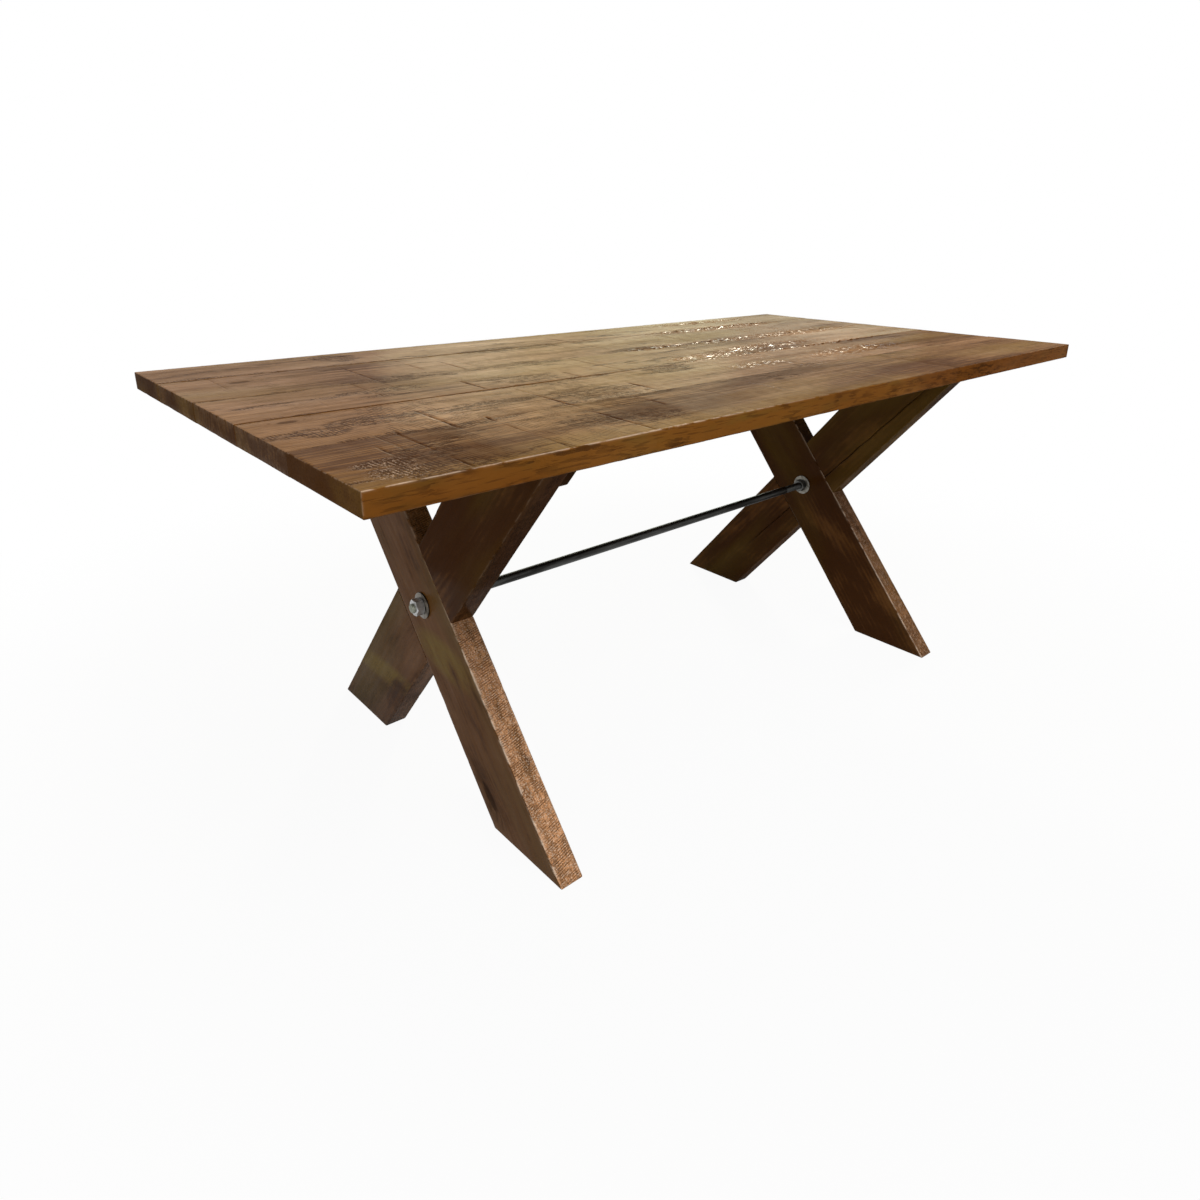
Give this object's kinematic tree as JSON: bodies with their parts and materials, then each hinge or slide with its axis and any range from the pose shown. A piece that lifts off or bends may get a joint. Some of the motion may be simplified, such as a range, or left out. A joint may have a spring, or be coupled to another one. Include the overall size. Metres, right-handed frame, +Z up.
{
  "type": "sawbuck table",
  "caption": "Long dining table with a rough-sawn plank top on crossed, half-lapped trestle legs that a steel rod with nuts ties together.",
  "frame": {"origin": "on the floor, under the middle of the top", "axes": "+X along the table's length, +Y across it towards the back edge, +Z up"},
  "size_m": [1.86, 0.94, 0.762],
  "materials": {
    "top_wood": "rough-sawn boards, brown stain, satin lacquer",
    "leg_wood": "rough-sawn boards, dark brown stain, satin lacquer",
    "bearer_wood": "sawn board, dark brown stain",
    "dowel_wood": "bare hardwood",
    "rod_steel": "dark oiled steel bar",
    "nut_steel": "zinc-plated steel",
    "washer_zinc": "zinc-plated steel",
    "lag_zinc": "zinc-plated steel",
    "screw_steel": "black oxide steel"
  },
  "bodies": {
    "root": {"top_plank_1": "top_wood", "top_plank_2": "top_wood", "top_plank_3": "top_wood", "top_plank_4": "top_wood", "top_plank_5": "top_wood", "left_leg_a": "leg_wood", "left_leg_b": "leg_wood", "right_leg_a": "leg_wood", "right_leg_b": "leg_wood", "left_bearer": "bearer_wood", "right_bearer": "bearer_wood", "seam_dowels_1": "dowel_wood", "seam_dowels_2": "dowel_wood", "seam_dowels_3": "dowel_wood", "seam_dowels_4": "dowel_wood", "tie_rod": "rod_steel", "left_outer_nut": "nut_steel", "left_inner_nut": "nut_steel", "right_inner_nut": "nut_steel", "right_outer_nut": "nut_steel", "left_outer_washer": "washer_zinc", "left_inner_washer": "washer_zinc", "right_inner_washer": "washer_zinc", "right_outer_washer": "washer_zinc", "left_lag_screws": "lag_zinc", "right_lag_screws": "lag_zinc", "left_lag_washers": "lag_zinc", "right_lag_washers": "lag_zinc", "left_top_screws": "screw_steel", "right_top_screws": "screw_steel"}
  },
  "joints": []
}
